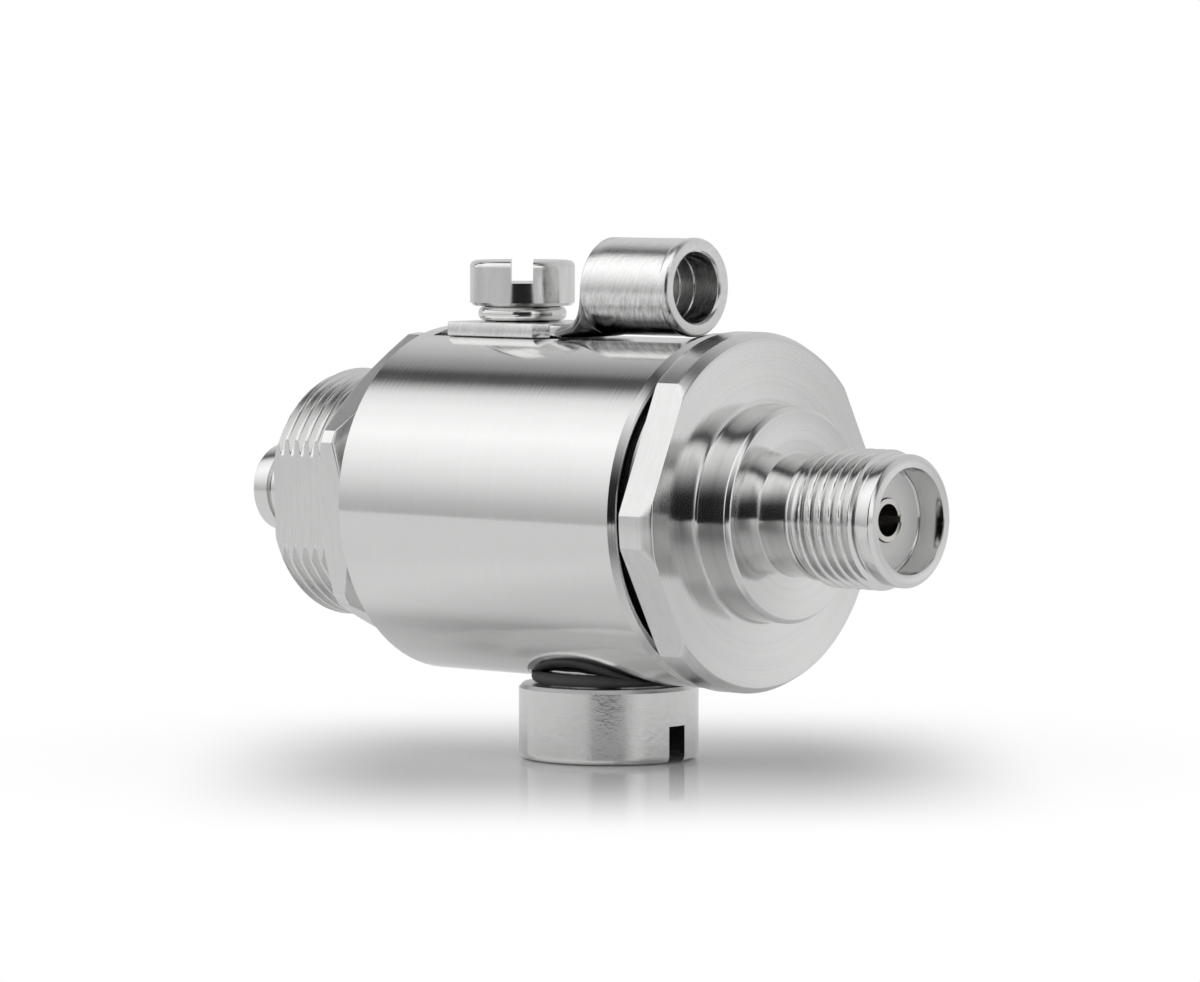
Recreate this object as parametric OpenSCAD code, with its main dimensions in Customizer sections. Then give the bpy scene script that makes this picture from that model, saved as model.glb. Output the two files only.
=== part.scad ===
// Coax lightning arrestor: a turned body with a coax jack at one end and a panel thread and spigot
// at the other, a gas discharge tube in a port below the line, and a ground lug on a milled flat.
// Lengths are in millimetres and angles in degrees. The line runs along X, with the flanged jack at +X.
// The part stands on its port cap, and the origin lies on that surface below the middle of its length.

/* [Body] */
// Outside diameter of the body
body_dia = 16.3; // [15.6:0.1:18]
// Length of the body between its end faces
body_len = 16.8; // [16.2:0.1:20]
// Diameter of the bore that the line runs through
line_bore_dia = 6.9; // [6.4:0.1:7.4]
// Chamfer on the end towards the flanged jack
near_rim_chamfer = 0.25; // [0.1:0.05:0.4]
// Chamfer on the end towards the panel thread
far_rim_chamfer = 0.08; // [0.05:0.01:0.3]

/* [Ground flat] */
// Depth of the milled flat below the top of the body
flat_depth = 0.4; // [0.3:0.05:0.6]
// Width of the lip left between the flat and the panel thread end
far_lip = 0.9; // [0.5:0.1:1.2]
// Width of the lip left between the flat and the flanged end
near_lip = 0.55; // [0.3:0.05:1]
// Distance of the ground screw from the panel thread end
screw_pos = 4.3; // [4.2:0.05:4.6]

/* [Gas tube port] */
// Distance of the port from the panel thread end
port_pos = 9.65; // [9.3:0.05:10.5]
// Diameter of the thread in the port
port_thread_dia = 6; // [5.8:0.1:6.6]
// Depth of the ring seat below the lowest line of the body
seat_depth = 0.5; // [0.4:0.05:0.55]
// Gap on the radius around the ring in its seat
seat_gap = 0.15; // [0.1:0.05:0.3]

/* [Gas tube] */
// Diameter of the two electrodes
electrode_dia = 5; // [4.4:0.1:5.2]
// Height of each electrode
electrode_len = 0.8; // [0.5:0.1:1]
// Diameter of the ceramic sleeve
ceramic_dia = 4.6; // [4:0.1:5]
// Height of the ceramic sleeve
ceramic_len = 3.4; // [3:0.1:3.8]
// Wall of the ceramic sleeve
ceramic_wall = 0.6; // [0.4:0.1:0.9]
// Height of the disc spring below the tube
spring_len = 1.1; // [0.8:0.1:1.4]
// Thickness of the disc spring
spring_sheet = 0.25; // [0.2:0.05:0.35]
// Number of slits in the disc spring
spring_slits = 6; // [4:1:8]

/* [Port cap] */
// Diameter of the cap
cap_dia = 8.38; // [8.3:0.02:9]
// Height of the cap below the ring
cap_len = 3.5; // [3.2:0.1:5]
// Radius on the foot of the cap
cap_edge = 0.35; // [0.2:0.05:0.5]
// Length of the threaded sleeve that goes into the port
cap_sleeve_len = 3.4; // [2.8:0.1:4]
// Width of the coin slot across the foot
cap_slot_width = 1.1; // [0.8:0.1:1.5]
// Depth of the coin slot
cap_slot_depth = 1.73; // [1:0.01:1.9]
// Cord diameter of the ring under the cap
oring_cord = 0.55; // [0.5:0.05:0.6]

/* [Flanged end] */
// Height of the round flange above the side of the body
flange_proud = 0.1; // [0.05:0.05:0.4]
// Depth of the single index flat on the flange
index_flat_depth = 0.65; // [0.4:0.05:0.7]
// Angle of the index flat, from +Y towards +Z
index_flat_angle = 155.5; // [150:0.5:160]
// Depth of the pair of wrench flats on the flange
wrench_flat_depth = 0.52; // [0.3:0.02:0.6]
// Angle of the wrench flats, from +Y towards +Z
wrench_flat_angle = 29; // [20:0.5:40]
// Length of the flange
flange_len = 1.75; // [1.4:0.05:3]
// Step on the radius from the side of the flange to its flat front
near_face_step = 0.25; // [0.15:0.05:0.4]
// Length of the chamfer around the front of the flange
near_face_chamfer = 0.5; // [0.3:0.05:0.8]
// Step on the radius from the index flat to the round face behind the flange
washer_face_step = 0.1; // [0.05:0.05:0.3]
// Length of the round face behind the flange
washer_face_len = 0.25; // [0.2:0.05:0.8]
// Diameter of the boss in front of the flange
boss_dia = 9.9; // [8:0.1:11]
// Length of the boss
boss_len = 1.85; // [1.2:0.05:3]
// Radius at the foot of the boss
boss_fillet = 0.2; // [0.1:0.05:0.4]
// Chamfer around the front of the boss
boss_chamfer = 0.2; // [0.1:0.05:0.4]
// Length of the neck between the boss and the jack
near_neck_len = 1.5; // [0.6:0.1:3]
// Length of the jack thread at this end
near_thread_len = 2.85; // [2:0.05:5]

/* [Panel end] */
// Depth of the collar's hexagon flats below the side of the body
far_hex_inset = 1.25; // [1:0.05:1.3]
// Depth of the collar's turned corners below the side of the body
far_corner_inset = 0.35; // [0.25:0.05:0.5]
// Angle of the first flat, from +Y towards +Z
far_hex_angle = 6.8; // [0:0.2:60]
// Length of the round face that meets the body
collar_face_len = 0.5; // [0.3:0.05:0.8]
// Length of the hexagon collar
far_hex_len = 1.6; // [1.2:0.05:2.4]
// Step on the radius from the hexagon flats to the round faces on both sides of them
collar_face_step = 0.05; // [0.05:0.01:0.1]
// Length of the chamfers on the corners of the collar
collar_chamfer = 0.45; // [0.3:0.05:0.55]
// Outside diameter of the panel thread
panel_thread_dia = 11.9; // [11.4:0.1:12.6]
// Length of the panel thread with its relief
panel_thread_len = 4.55; // [3.6:0.05:10]
// Depth of the wrench flat along the panel thread
panel_flat_depth = 0.75; // [0.4:0.05:0.85]
// Turn of the wrench flat from the -Y side, towards -Z
panel_flat_angle = 2; // [-10:0.5:10]
// Diameter of the relief groove behind the panel thread
panel_relief_dia = 10.2; // [9.6:0.1:10.2]
// Width of the relief groove behind the panel thread
panel_relief_len = 0.4; // [0.3:0.05:0.8]
// Chamfer on the free end of the panel thread
panel_chamfer = 0.45; // [0.2:0.05:0.6]
// Outside diameter of the plain spigot beyond the panel thread
spigot_dia = 4.2; // [4:0.05:5]
// Length of the spigot
spigot_len = 4.5; // [4:0.1:6]
// Wall of the spigot
spigot_wall = 0.4; // [0.3:0.05:0.5]
// Distance of the groove around the spigot from its tip
spigot_groove_pos = 1.0; // [0.6:0.05:1.5]
// Width of the groove around the spigot
spigot_groove_len = 0.25; // [0.15:0.05:0.4]
// Depth of the groove around the spigot
spigot_groove_depth = 0.2; // [0.16:0.01:0.24]
// Chamfer on the tip of the spigot
spigot_chamfer = 0.12; // [0.05:0.01:0.2]
// Depth of the mouth of the spigot down to its insulator
spigot_mouth_depth = 1.0; // [0.8:0.1:1.6]

/* [Jack] */
// Outside diameter of the jack thread
jack_thread_dia = 6.35; // [6.2:0.05:6.5]
// Diameter of the neck behind the jack
neck_dia = 5.6; // [5.4:0.1:6]
// Diameter of the narrow ring that ends the neck
ring_dia = 5.85; // [5.7:0.05:6.1]
// Width of the narrow ring that ends the neck
ring_len = 0.3; // [0.2:0.05:0.5]
// Diameter of the relief behind the jack thread
relief_dia = 5.5; // [5.3:0.05:5.7]
// Width of the relief behind the jack thread
relief_len = 0.75; // [0.5:0.05:1]
// Diameter of the groove in front of the jack thread
groove_dia = 5.65; // [5.4:0.05:5.9]
// Width of the groove in front of the jack thread
groove_len = 0.4; // [0.2:0.05:0.6]
// Diameter of the plain lead ring
lead_dia = 6.0; // [5.8:0.05:6.05]
// Width of the plain lead ring
lead_len = 0.6; // [0.4:0.05:1]
// Diameter of the front rim
rim_dia = 5.52; // [5.4:0.02:5.8]
// Length of the chamfer behind the front rim
rim_chamfer = 0.15; // [0.1:0.05:0.3]
// Diameter of the mouth
mouth_dia = 4.8; // [4.7:0.05:4.9]
// Depth of the mouth down to the insulator
mouth_depth = 1.4; // [1.2:0.1:2.2]

/* [Line] */
// Diameter of the insulator in each end piece
insulator_dia = 4.56; // [4.54:0.02:4.6]
// Diameter of the socket contact
contact_dia = 1.95; // [1.3:0.05:2.1]
// Diameter of the hole in the socket contact
contact_bore_dia = 1.48; // [0.9:0.02:1.6]
// Depth of the hole in the socket contact
contact_bore_depth = 3; // [2.5:0.1:3.5]
// Length by which the contact stands proud of the insulator
contact_proud = 0.1; // [0.05:0.05:0.3]
// Width of the slit in the contact
slit_width = 0.3; // [0.2:0.05:0.4]
// Length of the slit in the contact
slit_len = 2; // [1.5:0.1:2.4]
// Diameter of the tail by which a contact joins the conductor
tail_dia = 1.2; // [0.8:0.1:1.25]
// Length of the tail by which a contact joins the conductor
tail_len = 1.5; // [1:0.1:2]
// Diameter of the center conductor
conductor_dia = 3; // [2.4:0.1:3.2]
// Depth of the flat on the conductor where the gas tube touches it
conductor_flat = 0.2; // [0.1:0.05:0.3]
// Thickness of the beads that hold the conductor
bead_len = 1.6; // [1:0.1:2]

/* [End joints] */
// Diameter of the threaded shanks that hold the end pieces in the body
shank_dia = 12; // [11:0.1:12.4]
// Length of the shank of the flanged end
near_shank_len = 2.45; // [2:0.05:2.6]
// Length of the shank of the panel end
far_shank_len = 2.3; // [2:0.05:2.5]
// Thickness of the gaskets between the body and the end pieces
gasket_len = 0.25; // [0.2:0.05:0.5]
// Width of the gaskets
gasket_width = 0.7; // [0.5:0.05:0.75]

/* [Ground lug] */
// Length of the flattened palm
palm_len = 5.8; // [5.4:0.1:6.2]
// Width of the palm
palm_width = 5.3; // [4.8:0.1:5.8]
// Thickness of the palm
palm_sheet = 0.67; // [0.5:0.01:0.9]
// Corner cut where the palm meets its neck
palm_corner = 0.5; // [0.3:0.1:0.8]
// Distance from the free end of the palm to the screw eye
eye_pos = 2.35; // [2.1:0.05:2.6]
// Outside diameter of the barrel
barrel_dia = 4.5; // [4:0.02:5]
// Diameter of the wire bore in the barrel
barrel_bore_dia = 3.2; // [2.6:0.1:3.4]
// Length of the round part of the barrel
barrel_len = 5.25; // [5:0.05:6.6]
// Depth of the wire bore
barrel_bore_depth = 4.4; // [3.4:0.1:4.6]
// Diameter of the narrower end of the wire bore
barrel_step_dia = 2.5; // [2:0.1:2.6]
// Length of the narrow neck between the palm and the shoulder
lug_neck_len = 0.85; // [0.5:0.05:1.2]
// Width of the neck
lug_neck_width = 4; // [3.4:0.1:4.4]
// Width of the shoulder where it meets the neck
shoulder_width = 5.2; // [4.6:0.1:5.4]
// Length of the shoulder between the neck and the barrel
shoulder_len = 1.2; // [1:0.05:1.6]
// Gap between the barrel and the flat below it
barrel_lift = 0.2; // [0.1:0.05:0.4]

/* [Ground screw] */
// Diameter of the screw thread
screw_dia = 2.5; // [2:0.1:2.6]
// Length of the screw below its head
screw_len = 4.7; // [4.2:0.1:4.9]
// Diameter of the screw head
head_dia = 4.93; // [4.4:0.01:5.3]
// Height of the screw head
head_len = 2.12; // [1.6:0.02:2.4]
// Radius around the top of the head
head_edge = 0.3; // [0.15:0.05:0.5]
// Width of the screwdriver slot
slot_width = 1.04; // [0.6:0.02:1.2]
// Depth of the screwdriver slot
slot_depth = 1.04; // [0.6:0.02:1.2]
// Angle of the screwdriver slot, from +X
slot_angle = -49; // [-90:1:90]
// Outside diameter of the lock washer
washer_dia = 4.15; // [3.8:0.05:4.6]
// Thickness of the lock washer
washer_len = 0.72; // [0.4:0.02:0.9]
// Width of the split in the lock washer
washer_split = 0.3; // [0.2:0.05:0.5]

/* [Clearances] */
// Gap on the radius between pieces that are fixed together
fit_gap = 0.02; // [0.01:0.01:0.04]
// Gap on the radius between a thread and its hole
thread_gap = 0.05; // [0.03:0.01:0.08]
// Gap between faces that touch across a moving joint
face_gap = 0.02; // [0.01:0.01:0.05]
// Gap around the screw in the eye of the lug
eye_gap = 0.1; // [0.06:0.02:0.2]
// Gap above and below the ring under the cap
oring_gap = 0.05; // [0.02:0.01:0.1]

/* [Hidden] */
$fn = 72;

// Overshoot of a cut past the face that it leaves through
past = 0.5;
// Length by which the lug's shoulder is set inside the shapes that it joins
tuck = 0.05;
// Number of points on each ring of the shoulder
ring_fn = 32;

nickel = [0.80, 0.80, 0.79];
bright_nickel = [0.86, 0.86, 0.85];
ptfe = [0.93, 0.93, 0.91];
rubber_black = [0.08, 0.08, 0.08];
gold = [0.83, 0.69, 0.37];
alumina = [0.90, 0.88, 0.84];
copper = [0.72, 0.45, 0.30];

// Diameters of the end pieces, and stations along the line, outward from the body for the far pieces
body_r = body_dia / 2;
flange_r = body_r + flange_proud;
near_face_r = flange_r - near_face_step;
washer_face_r = flange_r - index_flat_depth - washer_face_step;
far_hex = body_dia - 2 * far_hex_inset;
far_corner_r = body_r - far_corner_inset;
collar_face_r = far_hex / 2 - collar_face_step;
gasket_dia = shank_dia + 2 * gasket_width;
insulator_bore_r = insulator_dia / 2 + fit_gap;
near_back = body_len + gasket_len;
flange_back = near_back + washer_face_len;
near_face = flange_back + flange_len;
boss_face = near_face + boss_len;
jack_head_len = ring_len + relief_len + groove_len + lead_len + rim_chamfer;
near_tip = boss_face + near_neck_len + near_thread_len + jack_head_len;
far_back = gasket_len;
far_hex_back = far_back + collar_face_len;
collar_face = far_hex_back + far_hex_len;
panel_end = collar_face + panel_thread_len;
far_tip = panel_end + spigot_len;
spigot_r = spigot_dia / 2;
spigot_bore_r = spigot_r - spigot_wall;
spigot_step = panel_end - 2 * panel_chamfer;
near_insulator_face = near_tip - mouth_depth;
far_insulator_face = far_tip - spigot_mouth_depth;
mid_x = (near_tip - far_tip) / 2;

// Levels of the gas tube stack and of the cap, downward from the line
tube_top = -(conductor_dia / 2 - conductor_flat) - face_gap;
ceramic_top = tube_top - electrode_len;
ceramic_bottom = ceramic_top - ceramic_len;
tube_bottom = ceramic_bottom - electrode_len;
cup_floor = tube_bottom - spring_len;
seat_z = seat_depth - body_r;
cap_top = seat_z - oring_cord - 2 * oring_gap;
sleeve_top = cap_top + cap_sleeve_len;
foot_z = cap_top - cap_len;
cup_dia = electrode_dia + 2 * eye_gap;
seat_dia = port_thread_dia + 2 * (oring_gap + oring_cord + seat_gap);

// Levels of the ground lug and its screw, upward from the line
flat_z = body_r - flat_depth;
palm_bottom = flat_z + face_gap;
palm_top = palm_bottom + palm_sheet;
washer_bottom = palm_top + face_gap;
head_bottom = washer_bottom + washer_len;
barrel_z = flat_z + barrel_lift + barrel_dia / 2;
palm_far = screw_pos - eye_pos;
palm_near = palm_far + palm_len;
shoulder_far = palm_near + lug_neck_len;
barrel_far = shoulder_far + shoulder_len;
barrel_near = barrel_far + barrel_len;

// Oval rings of the lug's shoulder: share of its length, width and height
shoulder_rings = [
    [0, shoulder_width, palm_sheet * 0.7],
    [0.5, (shoulder_width + barrel_dia) / 2, barrel_dia * 0.27],
    [0.8, barrel_dia * 0.99, barrel_dia * 0.58],
    [0.95, barrel_dia * 0.98, barrel_dia * 0.9],
    [1.02, barrel_dia * 0.97, barrel_dia + barrel_lift - face_gap - 3 * tuck],
    [1.2, barrel_dia * 0.9, barrel_dia * 0.9]
];

// Points of an arc of radius r about c, from angle a0 to angle a1
function arc(c, r, a0, a1, steps = 6) = [
    for (i = [0 : steps]) c + r * [cos(a0 + (a1 - a0) * i / steps), sin(a0 + (a1 - a0) * i / steps)]
];

// Outline of the jack as [radius, station] points, from its neck out to the rim and into the mouth
function jack_outline() =
    let (
        ring = boss_face + near_neck_len,
        relief = ring + ring_len,
        thread = relief + relief_len,
        groove = thread + near_thread_len,
        lead = groove + groove_len,
        shoulder = lead + lead_len,
        thread_rise = (jack_thread_dia - relief_dia) / 2,
        thread_fall = (jack_thread_dia - groove_dia) / 4
    ) [
        [neck_dia / 2, boss_face],
        [neck_dia / 2, ring],
        [ring_dia / 2, ring],
        [ring_dia / 2, relief],
        [relief_dia / 2, relief],
        [relief_dia / 2, thread - thread_rise / 2],
        [jack_thread_dia / 2, thread],
        [jack_thread_dia / 2, groove],
        [groove_dia / 2, groove + thread_fall],
        [groove_dia / 2, lead],
        [lead_dia / 2, lead],
        [lead_dia / 2, shoulder],
        [rim_dia / 2, near_tip],
        [mouth_dia / 2, near_tip],
        [mouth_dia / 2, near_insulator_face],
        [insulator_bore_r, near_insulator_face]
    ];

// Outline of the spigot as [radius, station] points, from the panel thread to its tip and into its bore
function spigot_outline() =
    let (
        groove_front = far_tip - spigot_groove_pos,
        groove_back = groove_front - spigot_groove_len,
        groove_r = spigot_r - spigot_groove_depth
    ) [
        [spigot_r, panel_end],
        [spigot_r, groove_back],
        [groove_r, groove_back],
        [groove_r, groove_front],
        [spigot_r, groove_front],
        [spigot_r, far_tip - spigot_chamfer],
        [spigot_r - spigot_chamfer, far_tip],
        [spigot_bore_r, far_tip],
        [spigot_bore_r, spigot_step],
        [insulator_bore_r, spigot_step]
    ];

// Bore behind the insulator and threaded shank that goes into the body
function shank_outline(back, shank_len) = [
    [insulator_bore_r, back],
    [line_bore_dia / 2, back],
    [line_bore_dia / 2, back - shank_len],
    [shank_dia / 2, back - shank_len],
    [shank_dia / 2, back]
];

// Places the model with its foot on Z = 0 and the middle of its length at X = 0
module place() {
    translate([-mid_x, 0, -foot_z]) children();
}

// Turns a shape made along Z so that it runs along X
module along_x(from = 0) {
    translate([from, 0, 0]) rotate([0, 90, 0]) children();
}

// Pieces of the panel end are made outward along +X and mirrored to their end
module far_end() {
    mirror([1, 0, 0]) children();
}

// Cut that leaves a flat at a distance from the axis, facing an angle from +Y towards +Z
module flat_cut(distance, angle, from, to) {
    rotate([0, 0, angle + 90])
        translate([distance, -body_dia, from])
            cube([body_dia, 2 * body_dia, to - from]);
}

module main_body() {
    color(bright_nickel) place() difference() {
        along_x() rotate_extrude() polygon([
            [0, 0],
            [body_r - far_rim_chamfer, 0],
            [body_r, far_rim_chamfer],
            [body_r, body_len - near_rim_chamfer],
            [body_r - near_rim_chamfer, body_len],
            [0, body_len]
        ]);
        along_x(-past) cylinder(d = line_bore_dia, h = body_len + 2 * past);
        along_x(-past) cylinder(d = shank_dia + 2 * fit_gap, h = past + far_shank_len - gasket_len + fit_gap);
        along_x(near_back - near_shank_len - fit_gap)
            cylinder(d = shank_dia + 2 * fit_gap, h = near_shank_len + past);
        translate([port_pos, 0, -body_r - past])
            cylinder(d = port_thread_dia + 2 * thread_gap, h = body_r + past);
        translate([port_pos, 0, -body_r - past])
            cylinder(d = seat_dia, h = seat_depth + past);
        translate([far_lip, -body_r, flat_z])
            cube([body_len - far_lip - near_lip, body_dia, flat_depth + past]);
        translate([screw_pos, 0, head_bottom - screw_len - thread_gap])
            cylinder(d = screw_dia + 2 * thread_gap, h = body_r);
    }
}

module near_connector() {
    flats_from = near_back + washer_face_len / 2;
    flats_to = near_face + past;
    color(nickel) place() along_x() difference() {
        rotate_extrude() polygon(concat(
            shank_outline(near_back, near_shank_len),
            [
                [washer_face_r, near_back],
                [washer_face_r, flange_back],
                [flange_r, flange_back],
                [flange_r, near_face - near_face_chamfer],
                [near_face_r, near_face]
            ],
            arc([boss_dia / 2 + boss_fillet, near_face + boss_fillet], boss_fillet, 270, 180),
            [
                [boss_dia / 2, boss_face - boss_chamfer],
                [boss_dia / 2 - boss_chamfer, boss_face]
            ],
            jack_outline()
        ));
        flat_cut(flange_r - index_flat_depth, index_flat_angle, flats_from, flats_to);
        flat_cut(flange_r - wrench_flat_depth, wrench_flat_angle, flats_from, flats_to);
        flat_cut(flange_r - wrench_flat_depth, wrench_flat_angle + 180, flats_from, flats_to);
    }
}

module far_connector() {
    thread_back = collar_face + panel_relief_len;
    hex_end = collar_face + panel_relief_len / 2;
    color(nickel) place() far_end() along_x() difference() {
        rotate_extrude() polygon(concat(
            shank_outline(far_back, far_shank_len),
            [
                [collar_face_r, far_back],
                [collar_face_r, far_hex_back],
                [far_corner_r, far_hex_back + collar_chamfer],
                [far_corner_r, collar_face - collar_chamfer],
                [collar_face_r, collar_face],
                [panel_relief_dia / 2, collar_face],
                [panel_relief_dia / 2, thread_back],
                [panel_thread_dia / 2, thread_back],
                [panel_thread_dia / 2, panel_end - panel_chamfer],
                [panel_thread_dia / 2 - panel_chamfer, panel_end]
            ],
            spigot_outline()
        ));
        for (k = [0 : 5])
            flat_cut(far_hex / 2, far_hex_angle + 60 * k, far_back + collar_face_len / 2, hex_end);
        flat_cut(panel_thread_dia / 2 - panel_flat_depth, panel_flat_angle + 180, hex_end, panel_end + past);
    }
}

// Hole through an insulator for its socket contact
module contact_hole(back, tip) {
    along_x(back - past) cylinder(d = contact_dia + 2 * fit_gap, h = tip - back + past);
}

// Socket contact with a slit mouth and a tail that joins the center conductor
module socket_contact(back, front, slit_turn) {
    color(gold) difference() {
        union() {
            along_x(back) cylinder(d = contact_dia, h = front - back);
            along_x(back - tail_len) cylinder(d = tail_dia, h = tail_len + past);
        }
        along_x(front - contact_bore_depth) cylinder(d = contact_bore_dia, h = contact_bore_depth + past);
        rotate([slit_turn, 0, 0])
            translate([front - slit_len, 0, -slit_width / 2])
                cube([slit_len + past, contact_dia, slit_width]);
    }
}

// Bead that holds the conductor in the bore of a shank
module bead(back) {
    color(ptfe) along_x(back - bead_len - fit_gap) difference() {
        cylinder(d = line_bore_dia - 2 * fit_gap, h = bead_len);
        translate([0, 0, -past]) cylinder(d = conductor_dia + 2 * fit_gap, h = bead_len + 2 * past);
    }
}

// Flat ring between an end face of the body and the piece screwed into it
module gasket() {
    color(rubber_black) along_x(fit_gap) difference() {
        cylinder(d = gasket_dia, h = gasket_len - 2 * fit_gap);
        translate([0, 0, -past]) cylinder(d = shank_dia + 2 * fit_gap, h = gasket_len + 2 * past);
    }
}

module near_dielectric() {
    color(ptfe) place() difference() {
        along_x(near_back) cylinder(d = insulator_dia, h = near_insulator_face - near_back);
        contact_hole(near_back, near_tip);
    }
}

module near_contact() {
    place() socket_contact(near_back, near_insulator_face + contact_proud, 0);
}

module near_bead() {
    place() bead(near_back);
}

module near_gasket() {
    place() translate([body_len, 0, 0]) gasket();
}

module far_dielectric() {
    color(ptfe) place() far_end() difference() {
        union() {
            along_x(far_back) cylinder(d = insulator_dia, h = spigot_step - fit_gap - far_back);
            along_x(far_back) cylinder(r = spigot_bore_r - fit_gap, h = far_insulator_face - far_back);
        }
        contact_hole(far_back, far_tip);
    }
}

module far_contact() {
    place() far_end() socket_contact(far_back, far_insulator_face + contact_proud, 180);
}

module far_bead() {
    place() far_end() bead(far_back);
}

module far_gasket() {
    place() far_end() gasket();
}

module center_conductor() {
    conductor_len = near_back + far_back - 2 * fit_gap;
    tail_hole = tail_len + fit_gap;
    color(gold) place() difference() {
        along_x(fit_gap - far_back) cylinder(d = conductor_dia, h = conductor_len);
        along_x(-far_back - past) cylinder(d = tail_dia + 2 * fit_gap, h = tail_hole + past);
        along_x(near_back - tail_hole) cylinder(d = tail_dia + 2 * fit_gap, h = tail_hole + past);
        translate([port_pos - seat_dia / 2, -conductor_dia / 2, tube_top + face_gap - conductor_flat - past])
            cube([seat_dia, conductor_dia, conductor_flat + past]);
    }
}

module tube_ceramic() {
    color(alumina) place() translate([port_pos, 0, ceramic_bottom + fit_gap]) difference() {
        cylinder(d = ceramic_dia, h = ceramic_len - 2 * fit_gap);
        translate([0, 0, -past]) cylinder(d = ceramic_dia - 2 * ceramic_wall, h = ceramic_len + 2 * past);
    }
}

// Electrode cap with a stub that reaches into the ceramic sleeve, made with its outer face at Z = 0
module electrode() {
    stub_dia = ceramic_dia - 2 * ceramic_wall - 2 * eye_gap;
    stub_len = ceramic_len / 3;
    color(copper) {
        translate([0, 0, -electrode_len]) cylinder(d = electrode_dia, h = electrode_len);
        translate([0, 0, -electrode_len - stub_len]) cylinder(d = stub_dia, h = stub_len + electrode_len / 2);
    }
}

module tube_upper_electrode() {
    place() translate([port_pos, 0, tube_top]) electrode();
}

module tube_lower_electrode() {
    place() translate([port_pos, 0, tube_bottom]) mirror([0, 0, 1]) electrode();
}

// Dished disc with slit fingers, narrow end up against the lower electrode
module contact_spring() {
    top = tube_bottom - fit_gap;
    bottom = cup_floor + fit_gap;
    outer_r = electrode_dia / 2 - eye_gap;
    inner_r = electrode_dia / 6;
    land = 2 * spring_sheet;
    color(gold) place() translate([port_pos, 0, 0]) difference() {
        rotate_extrude() polygon([
            [inner_r, top],
            [inner_r, top - spring_sheet],
            [inner_r + land / 2, top - spring_sheet],
            [outer_r - land, bottom],
            [outer_r, bottom],
            [outer_r, bottom + spring_sheet],
            [outer_r - land / 2, bottom + spring_sheet],
            [inner_r + land, top]
        ]);
        for (k = [0 : spring_slits - 1])
            rotate([0, 0, 360 * k / spring_slits])
                translate([-past, -spring_sheet / 2, bottom + spring_sheet])
                    cube([electrode_dia, spring_sheet, spring_len]);
    }
}

module port_cap() {
    cap_r = cap_dia / 2;
    sleeve_r = port_thread_dia / 2;
    sleeve_chamfer = thread_gap * 4;
    color(nickel) place() translate([port_pos, 0, 0]) difference() {
        rotate_extrude() polygon(concat(
            [[0, foot_z]],
            arc([cap_r - cap_edge, foot_z + cap_edge], cap_edge, 270, 360),
            [
                [cap_r, cap_top - cap_edge / 2],
                [cap_r - cap_edge / 2, cap_top],
                [sleeve_r, cap_top],
                [sleeve_r, sleeve_top - sleeve_chamfer],
                [sleeve_r - sleeve_chamfer, sleeve_top],
                [cup_dia / 2, sleeve_top],
                [cup_dia / 2, cup_floor],
                [0, cup_floor]
            ]
        ));
        translate([-cap_dia, -cap_slot_width / 2, foot_z - past])
            cube([2 * cap_dia, cap_slot_width, cap_slot_depth + past]);
    }
}

module cap_oring() {
    color(rubber_black) place() translate([port_pos, 0, seat_z - oring_gap - oring_cord / 2])
        rotate_extrude()
            translate([port_thread_dia / 2 + oring_gap + oring_cord / 2, 0])
                circle(d = oring_cord);
}

// Shoulder of the lug, blended through its rings from the neck into the barrel
module lug_shoulder() {
    n = ring_fn;
    last = len(shoulder_rings) - 1;
    points = [
        for (form = shoulder_rings)
            for (i = [0 : n - 1])
                [
                    shoulder_far + shoulder_len * form[0],
                    form[1] / 2 * cos(360 * i / n),
                    palm_bottom + tuck + form[2] / 2 * (1 + sin(360 * i / n))
                ]
    ];
    sides = [
        for (k = [0 : last - 1])
            for (i = [0 : n - 1])
                let (a = k * n + i, b = k * n + (i + 1) % n)
                    each [[a, a + n, b + n], [a, b + n, b]]
    ];
    far_cap = [for (i = [0 : n - 1]) i];
    near_cap = [for (i = [0 : n - 1]) last * n + n - 1 - i];
    polyhedron(points = points, faces = concat([far_cap], sides, [near_cap]));
}

module ground_lug() {
    palm_side = palm_width / 2;
    neck_side = lug_neck_width / 2;
    color(nickel) place() difference() {
        union() {
            translate([palm_far, 0, palm_bottom]) linear_extrude(height = palm_sheet) polygon([
                [0, -palm_side],
                [palm_len - palm_corner, -palm_side],
                [palm_len, -neck_side],
                [shoulder_far - palm_far + palm_corner, -neck_side],
                [shoulder_far - palm_far + palm_corner, neck_side],
                [palm_len, neck_side],
                [palm_len - palm_corner, palm_side],
                [0, palm_side]
            ]);
            lug_shoulder();
            translate([0, 0, barrel_z]) along_x(barrel_far) cylinder(d = barrel_dia, h = barrel_len);
        }
        translate([0, 0, barrel_z]) along_x(barrel_near - barrel_bore_depth)
            cylinder(d = barrel_bore_dia, h = barrel_bore_depth + past);
        translate([0, 0, barrel_z]) along_x(barrel_far + (barrel_dia - barrel_bore_dia) / 2)
            cylinder(d = barrel_step_dia, h = barrel_len);
        translate([screw_pos, 0, palm_bottom - past])
            cylinder(d = screw_dia + 2 * eye_gap, h = palm_sheet + past + face_gap);
    }
}

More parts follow.
